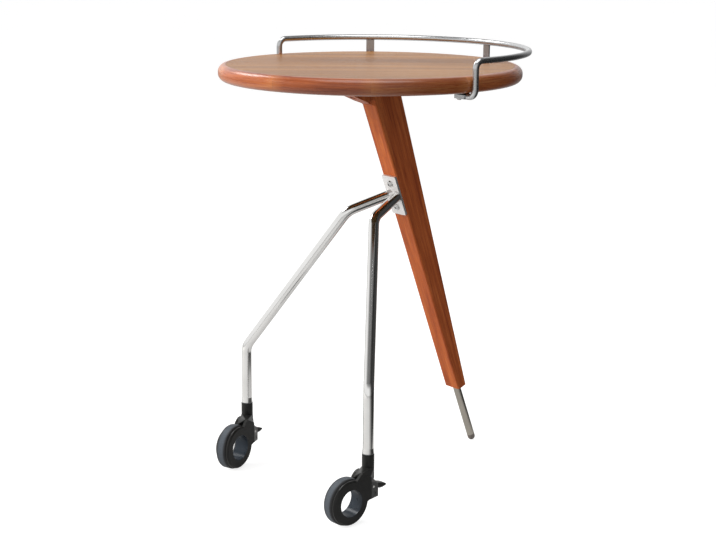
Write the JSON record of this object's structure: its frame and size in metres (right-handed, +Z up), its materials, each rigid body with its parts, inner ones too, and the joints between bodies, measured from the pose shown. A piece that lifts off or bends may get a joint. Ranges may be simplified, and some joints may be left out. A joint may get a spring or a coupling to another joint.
{
  "type": "rolling side table",
  "caption": "Round wooden side table on a raked wooden leg and two bent chrome tube legs with hubless braked casters, with a half-round steel gallery rail behind the top.",
  "frame": {"origin": "On the floor, under the middle of the box that holds the whole table", "axes": "+Z up; +Y toward the wooden leg and the gallery rail, -Y toward the casters; +X to the right as seen from the caster side"},
  "size_m": [0.4172, 0.4124, 0.583],
  "materials": {
    "top_veneer": "satin",
    "lipping_wood": "satin",
    "leg_wood": "satin",
    "dowel_wood": "matte",
    "tube_chrome": "polished",
    "rail_steel": "satin",
    "rod_steel": "satin",
    "plate_steel": "satin",
    "screw_steel": "satin",
    "dark_steel": "satin",
    "tip_rubber": "matte",
    "pad_rubber": "matte",
    "tyre_rubber": "matte",
    "caster_plastic": "satin",
    "rim_plastic": "matte"
  },
  "bodies": {
    "table": {"tabletop_panel": "top_veneer", "tabletop_lipping": "lipping_wood", "leg": "leg_wood", "leg_dowels": "dowel_wood", "head_screws": "screw_steel", "foot_rod": "rod_steel", "foot_tip": "tip_rubber", "bracket_plate": "plate_steel", "bracket_screws": "screw_steel", "weld_beads": "plate_steel", "gallery_rail": "rail_steel", "rear_strap": "rail_steel", "side_strap": "rail_steel", "hook_pads": "pad_rubber", "rail_screws": "screw_steel", "tube_left": "tube_chrome", "tube_right": "tube_chrome", "caster_stem_left": "tube_chrome", "caster_stem_right": "tube_chrome"},
    "fork_left": {"caster_body_left": "caster_plastic", "caster_cover_left": "caster_plastic", "cover_screws_left": "dark_steel", "lever_pin_left": "screw_steel", "swivel_washer_left": "screw_steel"},
    "wheel_left": {"wheel_rim_left": "rim_plastic", "tyre_left": "tyre_rubber"},
    "brake_left": {"brake_lever_left": "caster_plastic", "brake_pad_left": "pad_rubber"},
    "fork_right": {"caster_body_right": "caster_plastic", "caster_cover_right": "caster_plastic", "cover_screws_right": "dark_steel", "lever_pin_right": "screw_steel", "swivel_washer_right": "screw_steel"},
    "wheel_right": {"wheel_rim_right": "rim_plastic", "tyre_right": "tyre_rubber"},
    "brake_right": {"brake_lever_right": "caster_plastic", "brake_pad_right": "pad_rubber"}
  },
  "joints": [
    {"name": "swivel_left", "type": "hinge", "parent": "table", "child": "fork_left", "pos_m": [-0.136, -0.1142, 0.06], "axis": [0, 0, 1], "continuous": true},
    {"name": "wheel_spin_left", "type": "hinge", "parent": "fork_left", "child": "wheel_left", "pos_m": [-0.11273, -0.15415, 0.0305], "axis": [0.9397, 0.342, 0], "continuous": true},
    {"name": "brake_pedal_left", "type": "hinge", "parent": "fork_left", "child": "brake_left", "pos_m": [-0.1259, -0.11797, 0.0433], "axis": [-0.9397, -0.342, 0], "range_deg": [0, 12]},
    {"name": "swivel_right", "type": "hinge", "parent": "table", "child": "fork_right", "pos_m": [0.136, -0.1142, 0.06], "axis": [0, 0, 1], "continuous": true},
    {"name": "wheel_spin_right", "type": "hinge", "parent": "fork_right", "child": "wheel_right", "pos_m": [0.14657, -0.15921, 0.0305], "axis": [0.9986, 0.0523, 0], "continuous": true},
    {"name": "brake_pedal_right", "type": "hinge", "parent": "fork_right", "child": "brake_right", "pos_m": [0.14455, -0.12076, 0.0433], "axis": [-0.9986, -0.0523, 0], "range_deg": [0, 12]}
  ]
}
